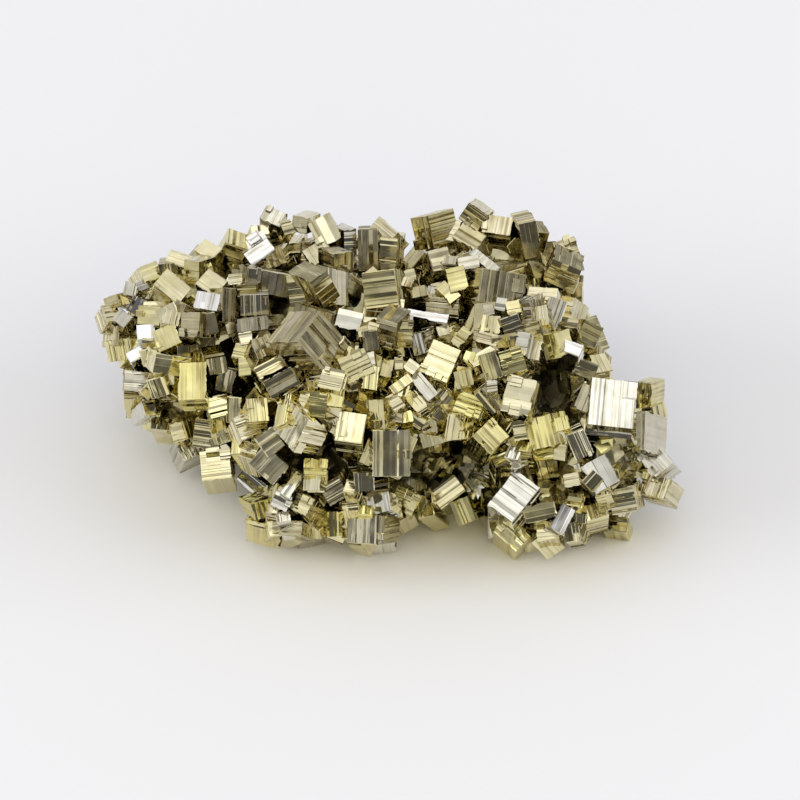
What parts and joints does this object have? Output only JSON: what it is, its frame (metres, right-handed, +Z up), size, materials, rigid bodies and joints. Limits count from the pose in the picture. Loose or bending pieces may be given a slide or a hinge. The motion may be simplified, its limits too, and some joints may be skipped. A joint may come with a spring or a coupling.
{
  "type": "pyrite crystal cluster specimen",
  "caption": "Intergrown cluster of striated metallic cubes, lobed and cut flat underneath, that rests on its flat underside.",
  "frame": {"origin": "a point of the flat underside under the middle of the cluster", "axes": "+X to the right along the cluster's length as seen from the front, +Y away from the viewer, +Z up from the flat underside"},
  "size_m": [0.0582, 0.0417, 0.0242],
  "materials": {
    "pyrite": "bright metallic crystal faces with fine parallel striations, darker in the clefts"
  },
  "bodies": {
    "root": {"pyrite_cluster": "pyrite"}
  },
  "joints": []
}
